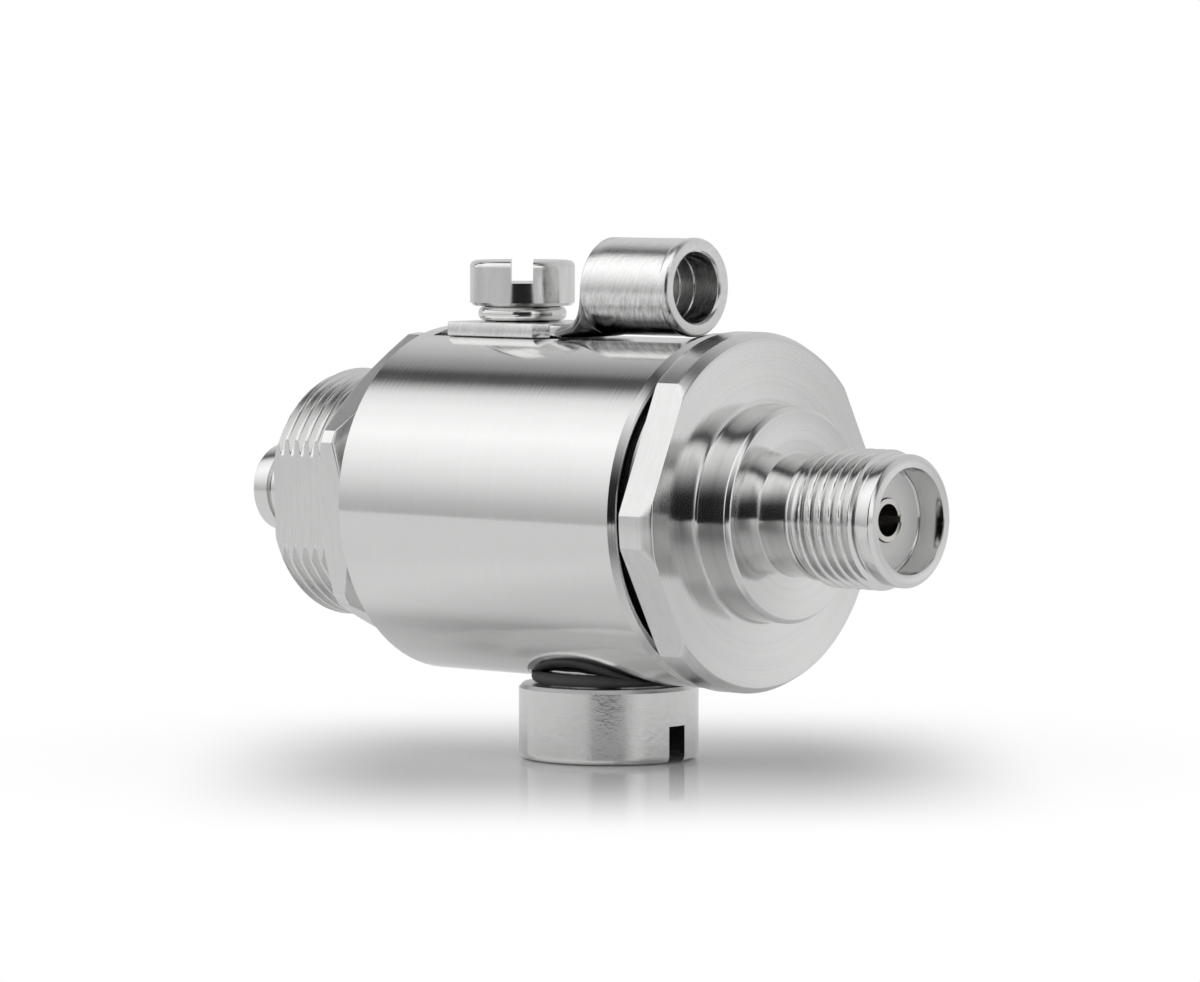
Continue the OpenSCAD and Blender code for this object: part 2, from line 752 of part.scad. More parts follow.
module ground_screw() {
    head_r = head_dia / 2;
    head_top = head_bottom + head_len;
    point_z = head_bottom - screw_len;
    point_chamfer = screw_dia / 8;
    color(nickel) place() translate([screw_pos, 0, 0]) difference() {
        rotate_extrude() polygon(concat(
            [
                [0, point_z],
                [screw_dia / 2 - point_chamfer, point_z],
                [screw_dia / 2, point_z + point_chamfer],
                [screw_dia / 2, head_bottom],
                [head_r - head_edge / 2, head_bottom],
                [head_r, head_bottom + head_edge / 2]
            ],
            arc([head_r - head_edge, head_top - head_edge], head_edge, 0, 90),
            [[0, head_top]]
        ));
        rotate([0, 0, slot_angle])
            translate([-head_dia, -slot_width / 2, head_top - slot_depth])
                cube([2 * head_dia, slot_width, slot_depth + past]);
    }
}

// Split ring with rounded edges
module lock_washer() {
    edge = washer_len * 0.45;
    inner_r = screw_dia / 2 + eye_gap;
    outer_r = washer_dia / 2;
    bottom = washer_bottom;
    top = head_bottom - face_gap;
    color(nickel) place() translate([screw_pos, 0, 0]) difference() {
        rotate_extrude() polygon(concat(
            [[inner_r, bottom]],
            arc([outer_r - edge, bottom + edge], edge, 270, 360),
            arc([outer_r - edge, top - edge], edge, 0, 90),
            [[inner_r, top]]
        ));
        rotate([0, 0, slot_angle + 180])
            translate([0, -washer_split / 2, bottom - past])
                cube([washer_dia, washer_split, washer_len + 2 * past]);
    }
}

main_body();
near_connector();
near_dielectric();
near_contact();
near_bead();
near_gasket();
far_connector();
far_dielectric();
far_contact();
far_bead();
far_gasket();
center_conductor();
tube_ceramic();
tube_upper_electrode();
tube_lower_electrode();
contact_spring();
port_cap();
cap_oring();
ground_lug();
ground_screw();
lock_washer();
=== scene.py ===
"""Looks of a coax lightning arrestor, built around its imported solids.

Lengths inside the shape functions are in millimetres on the line frame: s runs along the line from the
panel end of the body towards the flanged jack, and heights count from the line's axis. The meshes are
put into the row frame in metres.
"""

import math

import bpy
import numpy as np
from bpy.props import FloatProperty, FloatVectorProperty, IntProperty, PointerProperty
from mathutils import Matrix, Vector


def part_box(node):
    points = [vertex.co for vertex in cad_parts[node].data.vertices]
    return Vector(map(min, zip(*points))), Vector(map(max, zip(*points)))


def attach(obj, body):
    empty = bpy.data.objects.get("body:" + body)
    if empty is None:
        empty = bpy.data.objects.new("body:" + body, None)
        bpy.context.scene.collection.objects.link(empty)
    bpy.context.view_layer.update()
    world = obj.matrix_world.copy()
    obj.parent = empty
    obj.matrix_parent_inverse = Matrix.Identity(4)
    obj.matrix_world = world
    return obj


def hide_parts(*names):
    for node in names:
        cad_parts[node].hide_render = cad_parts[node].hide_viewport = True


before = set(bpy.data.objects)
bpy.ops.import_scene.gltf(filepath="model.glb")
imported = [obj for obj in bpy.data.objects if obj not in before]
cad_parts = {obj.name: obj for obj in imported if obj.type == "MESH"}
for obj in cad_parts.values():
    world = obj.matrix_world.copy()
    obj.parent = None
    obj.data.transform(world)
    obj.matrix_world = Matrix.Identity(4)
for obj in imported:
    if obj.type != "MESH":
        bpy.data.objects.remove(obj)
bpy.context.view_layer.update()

bl_info = {
    "name": "Coax lightning arrestor looks",
    "version": (1, 0, 0),
    "blender": (4, 5, 0),
    "location": "View3D > Sidebar > Arrestor",
    "description": "Turned, threaded and plated pieces of a coax lightning arrestor, with its studio",
    "category": "Object",
}

MM = 0.001
BODY_LOW, BODY_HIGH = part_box("main_body")
LINE_START = BODY_LOW.x
LINE_LEVEL = (BODY_LOW.z + BODY_HIGH.z) / 2
CAP_LOW, CAP_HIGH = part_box("port_cap")
CAP_X = (CAP_LOW.x + CAP_HIGH.x) / 2
SCREW_LOW, SCREW_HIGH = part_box("ground_screw")
SCREW_X = (SCREW_LOW.x + SCREW_HIGH.x) / 2


# Properties

class NearEndSizes(bpy.types.PropertyGroup):
    """Sizes of the flanged end that the solids leave plain"""
    pitch: FloatProperty(name="Thread pitch", description="Crest spacing of the jack thread, in mm",
                         default=0.575, min=0.4, max=0.8)
    depth: FloatProperty(name="Thread depth", description="Depth of the jack thread, in mm",
                         default=0.36, min=0.1, max=0.5)
    edge: FloatProperty(name="Edge break", description="Reach of the broken edges, in mm",
                        default=0.05, min=0.01, max=0.1)
    around: IntProperty(name="Steps around", description="Points around the axis",
                        default=264, min=96, max=360)


class FarEndSizes(bpy.types.PropertyGroup):
    """Sizes of the panel end that the solids leave plain"""
    pitch: FloatProperty(name="Panel thread pitch", description="Crest spacing of the panel thread, in mm",
                         default=0.64, min=0.5, max=1.0)
    depth: FloatProperty(name="Panel thread depth", description="Depth of the panel thread, in mm",
                         default=0.34, min=0.1, max=0.6)
    edge: FloatProperty(name="Edge break", description="Reach of the broken edges, in mm",
                        default=0.05, min=0.01, max=0.1)
    around: IntProperty(name="Steps around", description="Points around the axis",
                        default=240, min=96, max=360)


class LugSizes(bpy.types.PropertyGroup):
    """Shape of the ground lug's shoulder and open end"""
    foot: FloatProperty(name="Shoulder foot", description="Station where the shoulder spreads, in mm",
                        default=8.58, min=8.2, max=9.0)
    wall: FloatProperty(name="Shoulder wall", description="Station of the upright wall, in mm",
                        default=9.82, min=9.4, max=10.2)
    crown: FloatProperty(name="Crown", description="Length of the rounding above the wall, in mm",
                         default=0.15, min=0.05, max=0.4)
    burr: FloatProperty(name="Burr", description="Height of the rolled burr at the open end, in mm",
                        default=0.035, min=0.0, max=0.08)
    edge: FloatProperty(name="Edge break", description="Reach of the broken edges, in mm",
                        default=0.07, min=0.01, max=0.15)
    around: IntProperty(name="Steps around", description="Points around the barrel",
                        default=144, min=48, max=240)


class Finishes(bpy.types.PropertyGroup):
    """Colours of the plating, the insulators and the seals"""
    plate: FloatVectorProperty(name="Plating", description="Colour of the nickel plate", subtype="COLOR",
                               size=3, min=0, max=1, default=(0.78, 0.78, 0.775))
    insulator: FloatVectorProperty(name="Insulator", description="Colour of the insulators", subtype="COLOR",
                                   size=3, min=0, max=1, default=(0.96, 0.96, 0.95))
    seal: FloatVectorProperty(name="Seal", description="Colour of the rubber seals", subtype="COLOR",
                              size=3, min=0, max=1, default=(0.08, 0.08, 0.08))


class StageSettings(bpy.types.PropertyGroup):
    """Camera, floor and light"""
    azimuth: FloatProperty(name="Azimuth", description="Camera azimuth from -Y towards +X",
                           subtype="ANGLE", default=math.radians(40.778))
    elevation: FloatProperty(name="Elevation", description="Camera elevation",
                             subtype="ANGLE", default=math.radians(3.704))
    distance: FloatProperty(name="Distance", description="Camera distance from its target",
                            unit="LENGTH", default=0.27857)
    lens: FloatProperty(name="Lens", description="Focal length for a 36 mm sensor",
                        unit="CAMERA", default=179.29)
    floor: FloatVectorProperty(name="Floor", description="Colour of the floor", subtype="COLOR",
                               size=3, min=0, max=1, default=(0.93, 0.93, 0.93))
    # painted shade: the floor's colour under the part is darkened to this level for the camera
    shade: FloatProperty(name="Floor shade", description="Level of the floor under the part for the camera",
                         default=0.72, min=0, max=1)
    glow: FloatProperty(name="Floor glow", description="Share of the white surround that metal shows",
                        default=0.34, min=0, max=1)
    mirror: FloatProperty(name="Floor mirror", description="Strength of the cap's reflection in the floor",
                          default=0.32, min=0, max=1)
    floor_front: FloatProperty(name="Floor front", description="Distance of the floor's front edge",
                               unit="LENGTH", default=0.081)
    light: FloatProperty(name="Light", description="Strength of the light tent", default=1.0, min=0, max=4)


# Shapes

SIDE_SHARE = 0.45  # of a short side that a rounded corner may take
MERGE_ANGLE = 1e-5  # angles closer than this are one
LEAST_COSINE = 0.05  # keeps the distance to a flat finite beside and behind it
CREST_SHARE, FLANK_SHARE = 0.12, 0.68  # of half a pitch
SHARP_ANGLE = math.radians(32.0)


def soften(points, reach, steps=3):
    """Closed outline with every corner rounded.

    A corner becomes the quadratic curve from the point `reach` before it to the point `reach` after it,
    with the corner as its control point. Short sides shorten the reach to 45% of their length.
    """
    corner = np.asarray(points, float)
    back, ahead = np.roll(corner, 1, 0) - corner, np.roll(corner, -1, 0) - corner
    back_len = np.linalg.norm(back, axis=1, keepdims=True)
    ahead_len = np.linalg.norm(ahead, axis=1, keepdims=True)
    cut = np.minimum(np.minimum(back_len, ahead_len) * SIDE_SHARE, np.asarray(reach, float).reshape(-1, 1))
    start, end = corner + back / back_len * cut, corner + ahead / ahead_len * cut
    t = np.linspace(0, 1, steps + 1)[None, :, None]
    curve = (1 - t) ** 2 * start[:, None] + 2 * t * (1 - t) * corner[:, None] + t ** 2 * end[:, None]
    return curve.reshape(-1, 2)


def refine(outline, fine):
    """Closed outline with extra points so that no step of a side is longer than its value in `fine`."""
    step = np.roll(outline, -1, 0) - outline
    count = np.maximum(1, np.ceil(np.linalg.norm(step, axis=1) / fine)).astype(int)
    side = np.repeat(np.arange(len(outline)), count)
    along = (np.arange(count.sum()) - np.repeat(np.cumsum(count) - count, count)) / count[side]
    return outline[side] + step[side] * along[:, None]


def angles_around(count, *edges):
    """Evenly spaced angles over one turn, with those in `edges` added so that flats end on a grid line."""
    even = np.arange(count) * 2 * np.pi / count
    extra = np.mod(np.concatenate(edges), 2 * np.pi)
    every = np.sort(np.concatenate([even, extra]))
    return every[np.append(np.diff(every) > MERGE_ANGLE, True)]


def flats_radius(theta, flats):
    """Distance from the axis to the nearest flat: a flat's distance over the cosine of the angle to it.

    `flats` holds (angle, distance) pairs.
    """
    angle, distance = np.asarray(flats).T[:, :, None]
    return (distance / np.maximum(np.cos(theta - angle), LEAST_COSINE)).min(0)


def flat_edges(flats, radius, margin=0.003):
    """Angles at which flats meet a round side of the given radius, each with a neighbour on both sides."""
    angle, distance = np.asarray(flats).T
    half = np.arccos(distance / radius)
    edge = np.concatenate([angle - half, angle + half])
    return np.concatenate([edge - margin, edge, edge + margin])


def thread_dip(s, theta, start, pitch, depth):
    """Depth of a right-hand thread below its crest at station s and angle theta.

    The tooth is a wave of s / pitch less the turn: a short crest and a short root, joined by flanks that
    follow a smooth step.
    """
    wave = np.abs(np.mod((s - start) / pitch - theta / (2 * np.pi), 1) - 0.5) * 2
    t = np.clip((wave - CREST_SHARE) / FLANK_SHARE, 0, 1)
    return depth * t * t * (3 - 2 * t)


def turned_points(outline, theta):
    """Stations and radii of the outline's points at every angle, as two grids of points by angles."""
    station = np.repeat(outline[:, :1], len(theta), axis=1)
    radius = np.repeat(outline[:, 1:], len(theta), axis=1)
    return station, radius


def row_frame(s, y, z):
    """Points of the line frame, in mm, as row frame points in metres."""
    return np.stack([LINE_START + s * MM, y * MM, LINE_LEVEL + z * MM], -1)


def ring_faces(rows, columns, close_rows):
    """Quads of a grid that closes around its columns, and around its rows too where asked."""
    index = np.arange(rows * columns).reshape(rows, columns)
    ahead = np.roll(index, -1, 0)
    quads = np.stack([index, np.roll(index, -1, 1), np.roll(ahead, -1, 1), ahead], -1)
    return (quads if close_rows else quads[:-1]).reshape(-1, 4)


def mesh_piece(name, points, quads, triangles=None):
    """New object from points and faces, with its faces turned outwards and smooth up to the sharp angle.

    The signed volume, a sixth of the sum of the triple products of the fan triangles, tells whether the
    faces point inwards.
    """
    fans = [quads[:, [0, 1, 2]], quads[:, [0, 2, 3]]] + ([] if triangles is None else [triangles])
    a, b, c = (points[np.concatenate(fans)[:, k]] for k in range(3))
    inward = np.einsum("ij,ij->i", a, np.cross(b, c)).sum() < 0
    faces = [quads] + ([] if triangles is None else [triangles])
    faces = [f[:, ::-1] if inward else f for f in faces]
    mesh = bpy.data.meshes.new(name)
    mesh.from_pydata(points.tolist(), [], [q for f in faces for q in f.tolist()])
    mesh.polygons.foreach_set("use_smooth", np.ones(len(mesh.polygons), bool))
    mesh.set_sharp_from_angle(angle=SHARP_ANGLE)
    mesh.update()
    piece = bpy.data.objects.new(name, mesh)
    bpy.context.scene.collection.objects.link(piece)
    return piece


THREAD_STEPS, FINE_STEP, COARSE_STEP = 24, 0.12, 1.2  # grid steps a pitch, on the flats and elsewhere
NEAR_BACK, NEAR_FACE, NEAR_TIP = 17.05, 19.05, 27.45
FLANGE_RADIUS, FLANGE_FACE_RADIUS, FLANGE_FOOT, FLANGE_START = 8.25, 8.0, 7.55, 17.2
FLANGE_FLATS = ((math.radians(155.5), 7.6), (math.radians(29), 7.73), (math.radians(209), 7.73))
FLANGE_MILLED = (17.25, 19.03)
BOSS_FOOT, BOSS_FILLET = 7, 0.2  # the outline's corner between the flange and the boss, and its reach
NEAR_THREAD, NEAR_CREST, NEAR_SKIN = (23.45, 26.3), 3.175, 2.6
FAR_BACK, COLLAR_FACE, PANEL_END, FAR_TIP = -0.25, -2.35, -6.9, -11.4
COLLAR_RADIUS = 7.8
COLLAR_FLATS = tuple((math.radians(6.8 + 60 * k), 6.9) for k in range(6))
COLLAR_START, COLLAR_MILLED_END = -0.5, -0.8
PANEL_RADIUS, PANEL_SKIN, PANEL_START = 5.95, (5.2, 6.2), -2.7
PANEL_FLAT = ((math.radians(182), 5.2),)
PANEL_RUNOUT = (21.0, 30.0, 0.4)  # degrees from the wrench flat's middle where the thread runs out
PANEL_THREAD = -6.6
COLLAR_MIDDLE, COLLAR_FOOT, COLLAR_HALF, COLLAR_BEVEL = -1.55, 6.85, 0.8, 0.45


def near_end_surface(sizes):
    """Flanged end: the outline turned about the line, cut by three flats, with a helical jack thread.

    The radius at a station and angle is the least of the outline's radius, the thread's crest less its dip
    on the jack, and the distance to the nearest flat on the flange.
    """
    outline = [
        (14.6, 6.0), (NEAR_BACK, 6.0), (NEAR_BACK, 7.5), (17.3, 7.5), (17.3, FLANGE_RADIUS),
        (18.55, FLANGE_RADIUS), (NEAR_FACE, FLANGE_FACE_RADIUS), (NEAR_FACE, 4.95), (20.7, 4.95),
        (20.9, 4.75), (20.9, 2.8), (22.4, 2.8), (22.4, 2.925), (22.7, 2.925), (22.7, 2.75), (23.24, 2.75),
        (NEAR_THREAD[0], NEAR_CREST), (NEAR_THREAD[1], NEAR_CREST), (26.47, 2.825), (26.7, 2.825),
        (26.7, 3.0), (27.3, 3.0), (NEAR_TIP, 2.76), (NEAR_TIP, 2.4), (26.05, 2.4), (26.05, 2.3),
        (NEAR_BACK, 2.3), (NEAR_BACK, 3.45), (14.6, 3.45),
    ]
    reach = np.full(len(outline), sizes.edge)
    reach[BOSS_FOOT] = BOSS_FILLET
    outline = soften(outline, reach)
    s, r = outline.T
    in_thread = (s > NEAR_THREAD[0] - 0.3) & (s < NEAR_THREAD[1] + 0.2) & (r > NEAR_SKIN)
    fine = np.where(in_thread, sizes.pitch / THREAD_STEPS, np.where(r > 7.5, FINE_STEP, COARSE_STEP))
    outline = refine(outline, fine)
    theta = angles_around(sizes.around, flat_edges(FLANGE_FLATS, FLANGE_RADIUS),
                          flat_edges(FLANGE_FLATS, FLANGE_FACE_RADIUS))
    station, radius = turned_points(outline, theta)
    dip = thread_dip(station, theta, NEAR_THREAD[0], sizes.pitch, sizes.depth)
    on_thread = (station > NEAR_THREAD[0] - 0.2) & (station < NEAR_THREAD[1] + 0.16) & (radius > NEAR_SKIN)
    radius = np.where(on_thread, np.minimum(radius, NEAR_CREST - dip), radius)
    on_flange = (radius > FLANGE_FOOT) & (station > FLANGE_START)
    radius = np.where(on_flange, np.minimum(radius, flats_radius(theta, FLANGE_FLATS)), radius)
    return row_frame(station, radius * np.cos(theta), radius * np.sin(theta))


def collar_points(station, radius, theta):
    """Stations and radii of the collar's outline, drawn in to its flats.

    Radii above the foot of the bevels shrink in proportion until the largest lies on the flat. Stations
    keep their share of the collar's half length, which falls along the bevels as the radius grows, so the
    curved edges between bevels and flats lie on grid lines.
    """
    def half_length(r):
        return COLLAR_HALF - COLLAR_BEVEL * (r - COLLAR_FOOT) / (COLLAR_RADIUS - COLLAR_FOOT)

    reach = np.minimum(COLLAR_RADIUS, flats_radius(theta, COLLAR_FLATS))
    drawn = COLLAR_FOOT + (radius - COLLAR_FOOT) * (reach - COLLAR_FOOT) / (COLLAR_RADIUS - COLLAR_FOOT)
    along = (station - COLLAR_MIDDLE) * half_length(drawn) / half_length(radius)
    return COLLAR_MIDDLE + along, drawn


def far_end_surface(sizes):
    """Panel end: the outline turned about the line, cut by six flats and a wrench flat, with a thread.

    On the panel thread the radius at a station and angle is the least of the outline's radius, the thread's
    crest less its dip, and the distance to the wrench flat. The collar is drawn in to its flats.
    """
    outline = [
        (2.05, 6.0), (FAR_BACK, 6.0), (FAR_BACK, COLLAR_FOOT), (-0.75, COLLAR_FOOT), (-1.2, COLLAR_RADIUS),
        (-1.9, COLLAR_RADIUS), (COLLAR_FACE, COLLAR_FOOT), (COLLAR_FACE, 5.1), (-2.75, 5.1),
        (-2.75, PANEL_RADIUS), (-6.45, PANEL_RADIUS), (PANEL_END, 5.5), (PANEL_END, 2.1), (-10.15, 2.1),
        (-10.15, 1.9), (-10.4, 1.9), (-10.4, 2.1), (-11.28, 2.1), (FAR_TIP, 1.98), (FAR_TIP, 1.7),
        (-6.0, 1.7), (-6.0, 2.3), (FAR_BACK, 2.3), (FAR_BACK, 3.45), (2.05, 3.45),
    ]
    outline = soften(outline, np.full(len(outline), sizes.edge))
    s, r = outline.T
    in_thread = (s < PANEL_START) & (s > PANEL_END) & (r > PANEL_SKIN[0])
    fine = np.where(in_thread, sizes.pitch / THREAD_STEPS, np.where(r > 6.7, FINE_STEP, COARSE_STEP))
    outline = refine(outline, fine)
    runout = np.radians(np.arange(*PANEL_RUNOUT))
    theta = angles_around(sizes.around, flat_edges(COLLAR_FLATS, COLLAR_RADIUS), PANEL_FLAT[0][0] + runout,
                          PANEL_FLAT[0][0] - runout)
    station, radius = turned_points(outline, theta)
    on_panel = (radius > PANEL_SKIN[0]) & (radius < PANEL_SKIN[1]) & (station < PANEL_START)
    dip = thread_dip(station, theta, PANEL_THREAD, sizes.pitch, sizes.depth)
    threaded = np.minimum(np.minimum(radius, PANEL_RADIUS - dip), flats_radius(theta, PANEL_FLAT))
    on_collar = (radius > COLLAR_FOOT) & (station < COLLAR_START)
    collar_station, collar_radius = collar_points(station, radius, theta)
    station = np.where(on_collar, collar_station, station)
    radius = np.where(on_panel, threaded, np.where(on_collar, collar_radius, radius))
    return row_frame(station, radius * np.cos(theta), radius * np.sin(theta))


LUG_EYE, LUG_FAR, LUG_CUT, LUG_NECK, LUG_END = 4.3, 1.95, 7.25, 7.75, 15.05
PALM_LOW, PALM_HIGH, PALM_HALF, NECK_HALF = 7.77, 8.44, 2.65, 2.0
BARREL_LEVEL, BARREL_RADIUS, BORE_RADIUS, STEP_RADIUS = 10.2, 2.25, 1.6, 1.25
EYE_RADIUS, PALM_STEPS = 1.35, 120
NECK_START, NECK_INSET, FOOT_HALF, WALL_TOP = 7.3, 0.02, 2.6, 11.9
NECK_POWER, FOOT_POWER, ROUND_POWER = 7.0, 3.6, 2.0  # exponents of the sections, from a bar to a round


def palm_surface(edge):
    """Palm of the lug: a plate around the screw eye, closed like a ring.

    At each angle about the eye the ring's section runs up the eye's wall, out along the top to the edge of
    the plate, down the side and back along the bottom. The edge lies on the nearest side of the plate: a
    side's distance from the eye over the cosine of the angle to it.
    """
    run, drop = LUG_NECK - LUG_CUT, PALM_HALF - NECK_HALF
    slant = math.atan2(run, drop)
    slant_gap = (LUG_CUT - LUG_EYE) * math.cos(slant) + PALM_HALF * math.sin(slant)
    sides = ((0.0, LUG_NECK - LUG_EYE), (math.pi, LUG_EYE - LUG_FAR), (math.pi / 2, PALM_HALF),
             (-math.pi / 2, PALM_HALF), (slant, slant_gap), (-slant, slant_gap))
    corner = np.arctan2([NECK_HALF, PALM_HALF, PALM_HALF],
                        [LUG_NECK - LUG_EYE, LUG_CUT - LUG_EYE, LUG_FAR - LUG_EYE])
    theta = angles_around(PALM_STEPS, corner, -corner)
    outer = flats_radius(theta, sides)
    c, s = np.cos(theta), np.sin(theta)
    section = soften([(0, PALM_LOW), (0, PALM_HIGH), (1, PALM_HIGH), (1, PALM_LOW)], [edge] * 4)
    share = np.clip(section[:, :1], 0, 1)
    reach = EYE_RADIUS + share * (outer - EYE_RADIUS)
    points = row_frame(LUG_EYE + reach * c, reach * s, np.repeat(section[:, 1:], len(theta), 1))
    return points.reshape(-1, 3), ring_faces(len(section), len(theta), True)


def shoulder_rows(sizes):
    """Sections of the lug's neck and shoulder: station, low, high, half width and exponent of each.

    The neck is a bar. From its foot the shoulder's top follows a cubic Bezier curve, flat at the foot and
    upright at the wall, and then a quarter of an ellipse over the crown, while the sides draw in from the
    spread foot to the barrel's radius.
    """
    t = np.linspace(0, 1, 28)
    knots = np.array([(sizes.foot, 8.24), (sizes.wall - 0.35, 8.45), (sizes.wall - 0.02, 9.2),
                      (sizes.wall, WALL_TOP)])
    weight = np.stack([(1 - t) ** 3, 3 * t * (1 - t) ** 2, 3 * t ** 2 * (1 - t), t ** 3], -1)
    rise = weight @ knots
    turn = np.linspace(0, np.pi / 2, 7)[1:]
    top = BARREL_LEVEL + BARREL_RADIUS
    crown = np.stack([sizes.wall + sizes.crown * (1 - np.cos(turn)),
                      WALL_TOP + (top - WALL_TOP) * np.sin(turn)], -1)
    station, high = np.concatenate([rise, crown]).T
    share = np.clip((station - sizes.foot) / (sizes.wall - sizes.foot), 0, 1)
    ease = share * share * (3 - 2 * share)
    bottom = PALM_LOW + NECK_INSET
    low = bottom + (BARREL_LEVEL - BARREL_RADIUS - bottom) * share ** 3
    half = FOOT_HALF + (BARREL_RADIUS - FOOT_HALF) * ease
    power = FOOT_POWER + (ROUND_POWER - FOOT_POWER) * ease
    bar = np.array([NECK_START, sizes.foot - 0.1])
    return (np.concatenate([bar, station]), np.concatenate([[bottom] * 2, low]),
            np.concatenate([[PALM_HIGH - NECK_INSET] * 2, high]), np.concatenate([[NECK_HALF] * 2, half]),
            np.concatenate([[NECK_POWER] * 2, power]))


def barrel_surface(sizes):
    """Neck, shoulder and barrel of the lug: superellipse sections that swell from the flat to a round tube.

    The barrel ends in a rolled burr. Its bore runs back from the end face over two tool steps to a
    narrower, closed end.
    """
    station, low, high, half, power = shoulder_rows(sizes)
    burr = BARREL_RADIUS + sizes.burr
    tail = soften([
        (sizes.wall + 1.0, BARREL_RADIUS), (LUG_END - 0.5, BARREL_RADIUS), (LUG_END - 0.42, burr),
        (LUG_END - 0.14, burr), (LUG_END, BARREL_RADIUS - 0.08), (LUG_END - 0.02, 1.74),
        (LUG_END - 0.14, BORE_RADIUS), (LUG_END - 1.5, BORE_RADIUS), (LUG_END - 1.55, 1.54),
        (LUG_END - 2.3, 1.54), (LUG_END - 2.36, 1.47), (LUG_END - 4.4, 1.47), (LUG_END - 4.4, STEP_RADIUS),
        (10.45, STEP_RADIUS), (10.45, 0.3),
    ], [0.001] + [sizes.edge] * 13 + [0.001])[3:-3]
    station = np.concatenate([station, tail[:, 0]])
    middle = np.concatenate([(low + high) / 2, np.full(len(tail), BARREL_LEVEL)])[:, None]
    up = np.concatenate([(high - low) / 2, tail[:, 1]])[:, None]
    out = np.concatenate([half, tail[:, 1]])[:, None]
    power = 2 / np.concatenate([power, np.full(len(tail), ROUND_POWER)])[:, None]
    theta = np.arange(sizes.around) * 2 * np.pi / sizes.around
    c, s = np.cos(theta), np.sin(theta)
    y = out * np.sign(c) * np.abs(c) ** power
    z = middle + up * np.sign(s) * np.abs(s) ** power
    points = row_frame(np.repeat(station[:, None], sizes.around, 1), y, z)
    quads = ring_faces(len(station), sizes.around, False)
    ends = np.stack([points[0].mean(0), points[-1].mean(0)])
    first = np.arange(sizes.around)
    last = first + (len(station) - 1) * sizes.around
    pole = len(station) * sizes.around
    triangles = np.concatenate([
        np.stack([np.full_like(first, pole), np.roll(first, -1), first], -1),
        np.stack([np.full_like(first, pole + 1), last, np.roll(last, -1)], -1),
    ])
    return np.concatenate([points.reshape(-1, 3), ends]), quads, triangles


# Shader maths

class Value:
    """A number in a node tree. Arithmetic on it adds Math nodes."""

    def __init__(self, board, socket):
        self.board, self.socket = board, socket

    def __add__(self, other):
        return self.board.math("ADD", self, other)

    def __radd__(self, other):
        return self.board.math("ADD", other, self)

    def __sub__(self, other):
        return self.board.math("SUBTRACT", self, other)

    def __rsub__(self, other):
        return self.board.math("SUBTRACT", other, self)

    def __mul__(self, other):
        return self.board.math("MULTIPLY", self, other)

    def __truediv__(self, other):
        return self.board.math("DIVIDE", self, other)


class Board:
    """A node tree under construction."""

    def __init__(self, tree):
        self.tree = tree
        tree.nodes.clear()

    def node(self, kind, settings=None, sockets=None, out=0):
        """Adds one node: its settings first, then its sockets. Gives the output named or numbered `out`."""
        made = self.tree.nodes.new(kind)
        for key, value in (settings or {}).items():
            if key == "stops":
                stops = made.color_ramp.elements
                while len(stops) < len(value):
                    stops.new(0.5)
                for stop, (place, level) in zip(stops, value):
                    stop.position, stop.color = place, (level, level, level, 1)
            else:
                setattr(made, key, value)
        for key, value in (sockets or {}).items():
            self.put(made.inputs[key], value)
        return Value(self, made.outputs[out]) if made.outputs else made

    def put(self, socket, value):
        """Links a value to a socket, or sets a plain number or colour on it."""
        if isinstance(value, Value):
            self.tree.links.new(value.socket, socket)
        else:
            socket.default_value = value

    def math(self, operation, *values):
        """One Math node."""
        return self.node("ShaderNodeMath", {"operation": operation}, dict(enumerate(values)))

    def between(self, value, low, high, first=0.0, last=1.0):
        """Smooth step of a value from `first` at `low` to `last` at `high`."""
        return self.node("ShaderNodeMapRange", {"interpolation_type": "SMOOTHSTEP"},
                         {0: value, 1: low, 2: high, 3: first, 4: last})

    def mix(self, share, first, second):
        """Colour mix."""
        return self.node("ShaderNodeMix", {"data_type": "RGBA"}, {0: share, 6: first, 7: second}, 2)

    def place(self):
        """Object coordinates in millimetres from the line's axis: x, y and z."""
        spot = self.node("ShaderNodeTexCoord", None, None, "Object")
        parts = self.node("ShaderNodeSeparateXYZ", None, {0: spot})
        x, y, z = (Value(self, parts.socket.node.outputs[k]) for k in range(3))
        return (x - LINE_START) * 1000.0, y * 1000.0, (z - LINE_LEVEL) * 1000.0

    def vector(self, x, y, z):
        """Vector from three numbers."""
        return self.node("ShaderNodeCombineXYZ", None, {0: x, 1: y, 2: z})

    def noise(self, spot, scale, detail=2.0, rough=0.5):
        """Noise between 0 and 1 at a spot, with its scale in spots a millimetre."""
        return self.node("ShaderNodeTexNoise", {"noise_dimensions": "3D"},
                         {"Vector": spot, "Scale": scale, "Detail": detail, "Roughness": rough})

    def facing(self, way):
        """Cosine of the angle between the surface's normal and a fixed direction."""
        normal = self.node("ShaderNodeTexCoord", None, None, "Normal")
        return self.node("ShaderNodeVectorMath", {"operation": "DOT_PRODUCT"}, {0: normal, 1: way}, "Value")

    def bump(self, height, strength, distance):
        """Normal from a height, in shares of a distance in millimetres."""
        return self.node("ShaderNodeBump", None,
                         {"Strength": strength, "Distance": distance * MM, "Height": height})

    def surface(self, constants, varying):
        """Principled surface with its constants set on it and its varying inputs linked."""
        shader = self.node("ShaderNodeBsdfPrincipled", None, {**constants, **varying})
        self.node("ShaderNodeOutputMaterial", None, {0: shader})


def new_board(name):
    """Material with an empty node tree."""
    made = bpy.data.materials.new(name)
    made.use_nodes = True
    return made, Board(made.node_tree)


def rgba(colour, level=1.0):
    """Colour of a property as a socket takes it, brighter or darker by `level`."""
    return (colour[0] * level, colour[1] * level, colour[2] * level, 1)


# Direction in which the painted fan highlight on turned faces is lightest, together with its opposite
FAN_WAY = (math.cos(math.radians(118)), math.sin(math.radians(118)))

